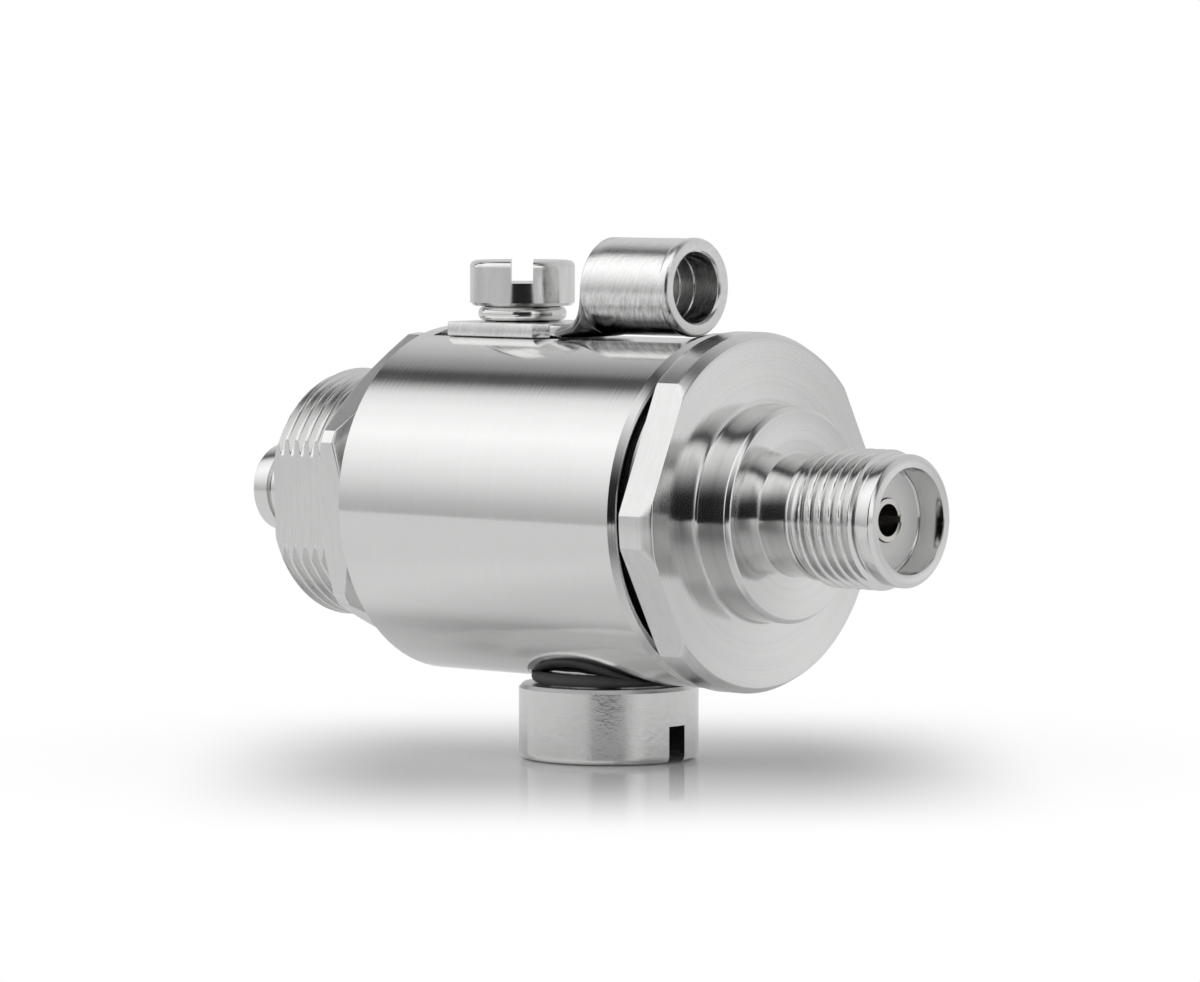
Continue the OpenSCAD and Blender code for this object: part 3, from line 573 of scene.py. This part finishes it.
# Noises of the finishes: spots a millimetre, detail and roughness
LATHE_NOISE, CLOUD_NOISE = (4.5, 5.0, 0.75), (0.55, 3.0)
STREAK_NOISE, COMB_NOISE, CREASE_NOISE = (3.2, 5.0, 0.7), (7.0, 3.0, 0.6), (2.8, 4.0, 0.65)
BRUSH_NOISE, SCRATCH_NOISE = (1.6, 5.0, 0.75), (2.6, 6.0, 0.75)
PATCH_NOISE, PIT_NOISE, MOULD_NOISE = (0.9, 3.0), (7.0, 3.0, 0.6), (0.8, 2.0)
RELIEF = 0.02  # mm, the unit of the heights
THREAD_RELIEF = 30.0  # heights a millimetre of pitch

CONTACT_COLOUR, ELECTRODE_COLOUR, CERAMIC_COLOUR = (0.74, 0.72, 0.67), (0.72, 0.45, 0.30), (0.86, 0.84, 0.80)
LUG_LEVEL, CAP_LEVEL = 1.05, 0.92  # shares of the plating's colour


def turned_plate(name, colour, rough, lines, mottle, axis=None, streaks=0.0, wrinkle=0.0, flats=None,
                 thread=None, comb=0.0, dull=0.0):
    """Plated metal with the marks of a lathe tool.

    The marks are noise of the station along the axis and of the radius only, so they run around the piece:
    lines on its sides and rings on its faces. On the faces a painted highlight, light and dark by twice the
    turn, stands in for the fan of light that the rings reflect.
    `axis` is the station of an upright axis, or None for the line's own axis. A slow mottle changes the tone
    and the gloss a little. Streaks are noise of the turn, so they run along the sides, and wrinkles are noise
    of the place. `flats` holds the angles of milled flats and the stations between which they lie: there fine
    mill marks take the place of the lathe's. `thread` holds the pitch and radius of a thread that shows only
    when the piece is screwed out, and the heights between which it lies: a wave of the height less the turn.
    The thread's wave also darkens its roots and lightens its crests in the colour: painted shade and painted
    highlight. `comb` deepens the lathe's lines, which fray the edges of what the piece mirrors. `dull` is the
    roughness added to the sides between the stations of the flats.
    """
    made, b = new_board(name)
    x, y, z = b.place()
    along, across, aside, way = (x, y, z, (1, 0, 0)) if axis is None else (z, x - axis, y, (0, 0, 1))
    radius = b.math("SQRT", across * across + aside * aside)
    fine = b.noise(b.vector(along, radius, 0.0), *LATHE_NOISE)
    cloud = b.noise(b.vector(x, y, z), *CLOUD_NOISE)
    face = b.between(b.math("ABSOLUTE", b.facing(way)), 0.9, 0.98)
    lean = (across * FAN_WAY[0] + aside * FAN_WAY[1]) / radius
    # painted highlight: on the faces the tone grows lighter and darker by twice the turn
    fan = (lean * lean * 2.0 - 1.0) * face
    tone = (cloud - 0.5) * mottle + (fine - 0.5) * lines + fan * (lines * 0.45) + 0.5
    gloss = (cloud - 0.5) * 0.08 + (fine - 0.5) * 0.06 + rough
    height = fine * (lines * 0.22)
    if streaks:
        streak = b.noise(b.vector(across / radius, aside / radius, along * 0.06), *STREAK_NOISE)
        tone = tone + (streak - 0.5) * streaks
        height = height + streak * (streaks * 0.12)
    if comb:
        height = height + b.noise(b.vector(along, radius, 3.0), *COMB_NOISE) * comb
    if wrinkle:
        height = height + b.noise(b.vector(x, y, z * 1.2), *CREASE_NOISE) * wrinkle
    if flats:
        angles, low, high = flats
        milled = 0.0
        for angle in angles:
            milled = milled + b.between(b.facing((0, math.cos(angle), math.sin(angle))), 0.985, 0.996)
        band = b.between(x, low, low + 0.02) * b.between(x, high - 0.02, high, 1.0, 0.0)
        milled = milled * band
        gloss = gloss + band * (1.0 - face) * dull
        brush = b.noise(b.vector(x * 6.0, y * 0.3, z * 0.3), *BRUSH_NOISE)
        tone = tone + (brush - 0.5) * milled * 0.4
        gloss = gloss + milled * 0.12
        height = height + brush * milled * 0.06
    if thread:
        pitch, crest, low, high = thread
        turn = b.math("ARCTAN2", aside, across) / (2 * math.pi)
        wave = b.math("PINGPONG", along / pitch - turn, 0.5)
        cut = b.between(along, low, low + 0.1) * b.between(along, high - 0.1, high, 1.0, 0.0)
        cut = cut * b.between(radius, crest - 0.1, crest - 0.05)
        height = height + wave * cut * (pitch * THREAD_RELIEF)
        # painted shade and highlight: the thread's roots are darker and its crests lighter in the colour
        tone = tone + (wave - 0.25) * cut * 1.6
    b.surface(
        {"Metallic": 1.0},
        {
            "Base Color": b.mix(tone, rgba(colour, 0.84), rgba(colour, 1.12)),
            "Roughness": gloss,
            "Normal": b.bump(height, 1.0, RELIEF),
        },
    )
    return made


def drawn_plate(name, colour):
    """Plated tube, drawn and crimped: fine scratches that run askew along it, with dull patches and pits.

    Towards the body the plate darkens in painted shade, more where it is scratched; the palm and the open end
    keep their full colour. The open end is cut bright and grainy.
    """
    made, b = new_board(name)
    x, y, z = b.place()
    spot = b.vector((x - z * 0.4) * 2.6, y * 0.55, z * 0.55)
    scratch = b.between(b.noise(spot, *SCRATCH_NOISE), 0.3, 0.7)
    patch = b.noise(b.vector(x, y, z), *PATCH_NOISE)
    pits = b.noise(b.vector(x, y, z), *PIT_NOISE)
    end = b.between(b.facing((1, 0, 0)), 0.8, 0.95)
    dull = b.between(patch, 0.45, 0.7)
    # painted shade: the plate darkens to three tenths of its colour towards the body, where the barrel faces
    # down
    lit_share = b.math("MAXIMUM", b.between(z + (scratch - 0.5) * 0.9, 7.9, 10.3), end)
    lit_share = b.math("MAXIMUM", lit_share, b.between(x, LUG_NECK, LUG_NECK + 1.2, 1.0, 0.0))
    bright = b.mix(scratch * 0.5 + patch * 0.5 + end * 0.1, rgba(colour, 0.88), rgba(colour, 1.15))
    b.surface(
        {"Metallic": 1.0},
        {
            "Base Color": b.mix(lit_share, rgba(colour, 0.3), bright),
            "Roughness": dull * 0.10 + scratch * 0.08 + end * 0.2 + 0.09,
            "Normal": b.bump(scratch * 0.25 + pits * 0.5 + pits * end * 1.5, 0.5, RELIEF),
        },
    )
    return made


def plain_solid(name, colour, rough, scale, depth, hole=0.0):
    """Moulded, fired or cast surface: a fine grain in its height, and a faint tone and gloss change.

    Inside the radius `hole` about the line's axis the tone falls to a tenth: painted shade in and around the
    centre hole.
    """
    made, b = new_board(name)
    x, y, z = b.place()
    spot = b.vector(x, y, z)
    grain = b.noise(spot, scale, 3.0)
    cloud = b.noise(spot, *MOULD_NOISE)
    # painted shade: inside the radius `hole` about the line's axis the colour falls to a tenth
    deep = b.between(b.math("SQRT", y * y + z * z), hole, hole + 0.03, 1.0, 0.0) if hole else 0.0
    skin = b.mix(cloud * 0.6 + grain * 0.4, rgba(colour, 0.9), rgba(colour, 1.05))
    b.surface(
        {"Metallic": 0.0},
        {
            "Base Color": b.mix(deep, skin, rgba(colour, 0.1)),
            "Roughness": (grain - 0.5) * 0.12 + rough,
            "Normal": b.bump(grain, 0.4, depth),
        },
    )
    return made


# Operators

def settings():
    """The property groups of the scene."""
    return bpy.context.scene.arrestor_looks


class ARRESTOR_OT_near_end(bpy.types.Operator):
    """Builds the flanged end with its jack thread"""
    bl_idname = "arrestor.near_end"
    bl_label = "Flanged end"

    def execute(self, context):
        looks = settings()
        grid = near_end_surface(looks.near_end)
        piece = mesh_piece("near_end", grid.reshape(-1, 3), ring_faces(*grid.shape[:2], True))
        piece.data.materials.append(turned_plate(
            "near_end_plate", looks.finishes.plate, 0.1, 0.9, 0.2,
            flats=([a for a, _ in FLANGE_FLATS], *FLANGE_MILLED), dull=0.14))
        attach(piece, "arrestor")
        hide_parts("near_connector")
        return {"FINISHED"}


class ARRESTOR_OT_far_end(bpy.types.Operator):
    """Builds the panel end with its thread"""
    bl_idname = "arrestor.far_end"
    bl_label = "Panel end"

    def execute(self, context):
        looks = settings()
        grid = far_end_surface(looks.far_end)
        piece = mesh_piece("far_end", grid.reshape(-1, 3), ring_faces(*grid.shape[:2], True))
        piece.data.materials.append(turned_plate(
            "far_end_plate", looks.finishes.plate, 0.17, 0.4, 0.2,
            flats=([a for a, _ in COLLAR_FLATS + PANEL_FLAT], PANEL_END, COLLAR_MILLED_END)))
        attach(piece, "arrestor")
        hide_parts("far_connector")
        return {"FINISHED"}


class ARRESTOR_OT_lug(bpy.types.Operator):
    """Builds the ground lug from its palm, shoulder and barrel"""
    bl_idname = "arrestor.lug"
    bl_label = "Ground lug"

    def execute(self, context):
        looks = settings()
        palm, palm_quads = palm_surface(looks.lug.edge)
        barrel, barrel_quads, ends = barrel_surface(looks.lug)
        points = np.concatenate([palm, barrel])
        quads = np.concatenate([palm_quads, barrel_quads + len(palm)])
        piece = mesh_piece("lug", points, quads, ends + len(palm))
        piece.data.materials.append(drawn_plate("lug_plate", [LUG_LEVEL * c for c in looks.finishes.plate]))
        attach(piece, "lug")
        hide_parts("ground_lug")
        return {"FINISHED"}


class ARRESTOR_OT_finishes(bpy.types.Operator):
    """Gives the solids that stay visible their finishes"""
    bl_idname = "arrestor.finishes"
    bl_label = "Finishes"

    def execute(self, context):
        colours = settings().finishes
        cap_s, screw_s = (CAP_X - LINE_START) * 1000, (SCREW_X - LINE_START) * 1000
        foot, head = (CAP_LOW.z - LINE_LEVEL) * 1000, (SCREW_HIGH.z - LINE_LEVEL) * 1000
        cap_thread = (0.75, 3.0, foot + 4.2, foot + 12.0)
        screw_thread = (0.45, 1.25, head - 9.0, head - 2.3)
        body = turned_plate("body_plate", colours.plate, 0.09, 0.2, 0.12, comb=0.22)
        contact = turned_plate("contact_plate", CONTACT_COLOUR, 0.16, 0.3, 0.2)
        insulator = plain_solid("insulator", colours.insulator, 0.42, 3.0, 0.01, hole=1.0)
        seal = plain_solid("seal", colours.seal, 0.8, 8.0, 0.02)
        electrode = turned_plate("electrode", ELECTRODE_COLOUR, 0.3, 0.4, 0.3, axis=cap_s)
        worn = {
            "main_body": body,
            "lock_washer": turned_plate("washer_plate", colours.plate, 0.09, 0.2, 0.2,
                                        axis=screw_s, streaks=0.3),
            "ground_screw": turned_plate("screw_plate", colours.plate, 0.12, 0.25, 0.2,
                                         axis=screw_s, streaks=1.5, thread=screw_thread),
            "port_cap": turned_plate("cap_plate", [CAP_LEVEL * c for c in colours.plate], 0.16, 0.2, 0.5,
                                     axis=cap_s, streaks=0.5, wrinkle=0.75, thread=cap_thread),
            "near_contact": contact,
            "far_contact": contact,
            "center_conductor": contact,
            "contact_spring": contact,
            "near_dielectric": insulator,
            "far_dielectric": insulator,
            "near_bead": insulator,
            "far_bead": insulator,
            "near_gasket": seal,
            "far_gasket": seal,
            "cap_oring": seal,
            "tube_ceramic": plain_solid("ceramic", CERAMIC_COLOUR, 0.5, 6.0, 0.01),
            "tube_upper_electrode": electrode,
            "tube_lower_electrode": electrode,
        }
        for node, finish in worn.items():
            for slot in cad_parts[node].material_slots:
                slot.material = finish
        return {"FINISHED"}


# Light level of the tent by its turn about the line, in degrees up from the front horizon
TENT = (
    (-180, 0.72), (-90, 0.5), (-20, 0.6), (-7, 0.52), (0, 0.60), (15, 0.88), (30, 1.08), (46, 1.24),
    (66, 1.10), (76, 0.92), (82, 0.52), (87, 0.12), (94, 0.08), (100, 0.28), (115, 0.54), (130, 0.68),
    (146, 0.66), (165, 0.70), (180, 0.64),
)
TENT_RANGE = 2  # the ramp holds levels up to 1, so it is scaled down and up again by this

# Dark camera side: its half swing in radians, its height as the direction's z, and its depth
DARK_SWING, DARK_HEIGHT, DARK_DEPTH = (math.radians(20), math.radians(29)), (0.2, 0.9), 0.97

# Floor zones, in mm from the cap across the view and along it
# Shadow zone: the floor's colour is darkened there in painted shade, on top of its real shadow
SHADOW_WIDE, SHADOW_DEEP, SHADOW_MIDDLE = (8.4, 20.9), (1.3, 27.0), 3.5
# Zone ahead: a dim patch that only reflections see, a painted reflection of the camera's dark side
AHEAD_WIDE, AHEAD_DEEP, AHEAD_LEVEL = (6.0, 24.0), (-45.0, -8.0), 0.4
MIRROR_REACH, MIRROR_ROUGH = (2.0, 34.0), 0.05
FLOOR_REACH, FLOOR_LINES = 0.3, 13

PHOTO_WIDTH, PHOTO_SHIFT = 1200, (1.188, 13.144)  # pixels
SENSOR_WIDTH, CLIP_START, TARGET_STATION = 36.0, 0.01, 9.04


def light_tent(stage):
    """World light: long soft panels along the line, by the direction's turn about it.

    Around the camera's own direction it is dark. The camera sees plain white.
    """
    world = bpy.data.worlds.new("studio")
    world.use_nodes = True
    bpy.context.scene.world = world
    b = Board(world.node_tree)
    way = b.node("ShaderNodeTexCoord", None, None, "Generated")
    parts = b.node("ShaderNodeSeparateXYZ", None, {0: way})
    x, y, z = (Value(b, parts.socket.node.outputs[k]) for k in range(3))
    turn = b.math("ARCTAN2", z, y * -1.0) / (2 * math.pi) + 0.5
    stops = [(a / 360 + 0.5, level / TENT_RANGE) for a, level in TENT]
    panel = b.node("ShaderNodeValToRGB", {"stops": stops}, {0: turn})
    ahead = x * math.sin(stage.azimuth) - y * math.cos(stage.azimuth)
    aside = x * math.cos(stage.azimuth) + y * math.sin(stage.azimuth)
    swing = b.math("ABSOLUTE", b.math("ARCTAN2", aside, ahead))
    shade = b.between(swing, *DARK_SWING, 1.0, 0.0) * b.between(z, *DARK_HEIGHT, 1.0, 0.0)
    dark = 1.0 - shade * DARK_DEPTH
    tent = b.node("ShaderNodeBackground", None, {0: panel, 1: dark * (TENT_RANGE * stage.light)})
    white = b.node("ShaderNodeBackground", None, {0: (1, 1, 1, 1), 1: 1.0})
    seen = b.node("ShaderNodeLightPath", None, None, "Is Camera Ray")
    view = b.node("ShaderNodeMixShader", None, {0: seen, 1: tent, 2: white})
    b.node("ShaderNodeOutputWorld", None, {0: view})


def camera_way(stage):
    """Direction from the target to the camera."""
    a, e = stage.azimuth, stage.elevation
    return Vector((math.sin(a) * math.cos(e), -math.cos(a) * math.cos(e), math.sin(e)))


def floor_finish(stage):
    """Pale floor: matt under the part, where it keeps the shadow and is darkened further in painted shade,
    and white beyond for the camera.

    The surround is white by the distance from the cap across the view and along it. Metal shows a share of
    that white, and a dim patch of floor ahead of the part that only reflections see: a painted reflection of
    the camera's own dark side. In front of the cap the floor mirrors it, and the mirror fades with the
    distance.
    """
    made, b = new_board("floor")
    camera = b.node("ShaderNodeLightPath", None, None, "Is Camera Ray")
    glossy = Value(b, camera.socket.node.outputs["Is Glossy Ray"])
    x, y, _ = b.place()
    from_cap = x - (CAP_X - LINE_START) * 1000
    c, s = math.cos(stage.azimuth), math.sin(stage.azimuth)
    wide = b.math("ABSOLUTE", from_cap * c + y * s)
    behind = y * c - from_cap * s
    deep = b.math("ABSOLUTE", behind + SHADOW_MIDDLE)
    # painted shade: in this soft zone around the part the camera sees a darker floor, on top of its real
    # shadow
    near = b.between(wide, *SHADOW_WIDE, 1.0, 0.0) * b.between(deep, *SHADOW_DEEP, 1.0, 0.0)
    ahead = b.between(behind, *AHEAD_DEEP, 1.0, 0.0) * b.between(wide, *AHEAD_WIDE, 1.0, 0.0)
    matt = b.node("ShaderNodeBsdfDiffuse", None, {"Color": rgba(stage.floor)})
    shaded = b.node("ShaderNodeBsdfDiffuse", None, {"Color": rgba(stage.floor, stage.shade)})
    white = b.node("ShaderNodeEmission", None, {"Color": (1, 1, 1, 1), "Strength": 1.0})
    view = b.node("ShaderNodeMixShader", None, {0: near, 1: white, 2: shaded})
    # painted reflection: a dim floor ahead of the part, seen only by glossy rays, stands in for the camera's
    # dark side
    dim = b.node("ShaderNodeBsdfDiffuse", None, {"Color": rgba(stage.floor, AHEAD_LEVEL)})
    lit = b.node("ShaderNodeMixShader", None, {0: ahead * glossy, 1: matt, 2: dim})
    shown = camera + glossy * (1.0 - ahead) * stage.glow
    base = b.node("ShaderNodeMixShader", None, {0: shown, 1: lit, 2: view})
    gloss = b.node("ShaderNodeBsdfAnisotropic", None, {"Color": (1, 1, 1, 1), "Roughness": MIRROR_ROUGH})
    reach = b.math("SQRT", from_cap * from_cap + y * y)
    share = b.between(reach, *MIRROR_REACH, stage.mirror, 0.0)
    surface = b.node("ShaderNodeMixShader", None, {0: share, 1: base, 2: gloss})
    b.node("ShaderNodeOutputMaterial", None, {0: surface})
    return made


class ARRESTOR_OT_stage(bpy.types.Operator):
    """Builds the floor, the light and the camera"""
    bl_idname = "arrestor.stage"
    bl_label = "Stage"

    def execute(self, context):
        stage = settings().stage
        scene = context.scene
        u, v = np.meshgrid(np.linspace(-FLOOR_REACH, FLOOR_REACH, FLOOR_LINES),
                           np.linspace(-stage.floor_front, FLOOR_REACH, FLOOR_LINES))
        points = np.stack([u, v, np.zeros_like(u)], -1).reshape(-1, 3)
        index = np.arange(FLOOR_LINES ** 2).reshape(FLOOR_LINES, FLOOR_LINES)
        quads = np.stack([index[:-1, :-1], index[:-1, 1:], index[1:, 1:], index[1:, :-1]], -1).reshape(-1, 4)
        mesh = bpy.data.meshes.new("floor")
        mesh.from_pydata(points.tolist(), [], quads.tolist())
        floor = bpy.data.objects.new("floor", mesh)
        floor.data.materials.append(floor_finish(stage))
        scene.collection.objects.link(floor)
        light_tent(stage)
        lens = bpy.data.cameras.new("camera")
        lens.sensor_fit = "HORIZONTAL"
        lens.sensor_width = SENSOR_WIDTH
        lens.lens = stage.lens
        lens.shift_x, lens.shift_y = (shift / PHOTO_WIDTH for shift in PHOTO_SHIFT)
        lens.clip_start = CLIP_START
        camera = bpy.data.objects.new("camera", lens)
        way = camera_way(stage)
        target = Vector((LINE_START + TARGET_STATION * MM, 0, LINE_LEVEL))
        camera.location = target + way * stage.distance
        camera.rotation_euler = way.to_track_quat("Z", "Y").to_euler()
        scene.collection.objects.link(camera)
        scene.camera = camera
        scene.view_settings.view_transform = "Standard"
        return {"FINISHED"}


class ArrestorLooks(bpy.types.PropertyGroup):
    """All settings of the looks"""
    near_end: PointerProperty(type=NearEndSizes)
    far_end: PointerProperty(type=FarEndSizes)
    lug: PointerProperty(type=LugSizes)
    finishes: PointerProperty(type=Finishes)
    stage: PointerProperty(type=StageSettings)


OPERATORS = (
    ARRESTOR_OT_near_end, ARRESTOR_OT_far_end, ARRESTOR_OT_lug, ARRESTOR_OT_finishes, ARRESTOR_OT_stage,
)


class ARRESTOR_PT_looks(bpy.types.Panel):
    """Sidebar panel with the steps and their settings"""
    bl_label = "Arrestor"
    bl_idname = "ARRESTOR_PT_looks"
    bl_space_type = "VIEW_3D"
    bl_region_type = "UI"
    bl_category = "Arrestor"

    def draw(self, context):
        looks = context.scene.arrestor_looks
        for operator in OPERATORS:
            self.layout.operator(operator.bl_idname)
        for group in (looks.near_end, looks.far_end, looks.lug, looks.finishes, looks.stage):
            box = self.layout.box()
            for name in group.__annotations__:
                box.prop(group, name)


CLASSES = (
    NearEndSizes, FarEndSizes, LugSizes, Finishes, StageSettings, ArrestorLooks, *OPERATORS,
    ARRESTOR_PT_looks,
)


def register():
    """Registers the classes and the scene's settings."""
    for cls in CLASSES:
        bpy.utils.register_class(cls)
    bpy.types.Scene.arrestor_looks = PointerProperty(type=ArrestorLooks)


def unregister():
    """Removes what register added."""
    del bpy.types.Scene.arrestor_looks
    for cls in reversed(CLASSES):
        bpy.utils.unregister_class(cls)


def main():
    """Builds every piece in order."""
    register()
    bpy.ops.arrestor.stage()
    bpy.ops.arrestor.near_end()
    bpy.ops.arrestor.far_end()
    bpy.ops.arrestor.lug()
    bpy.ops.arrestor.finishes()


if __name__ == "__main__":
    main()
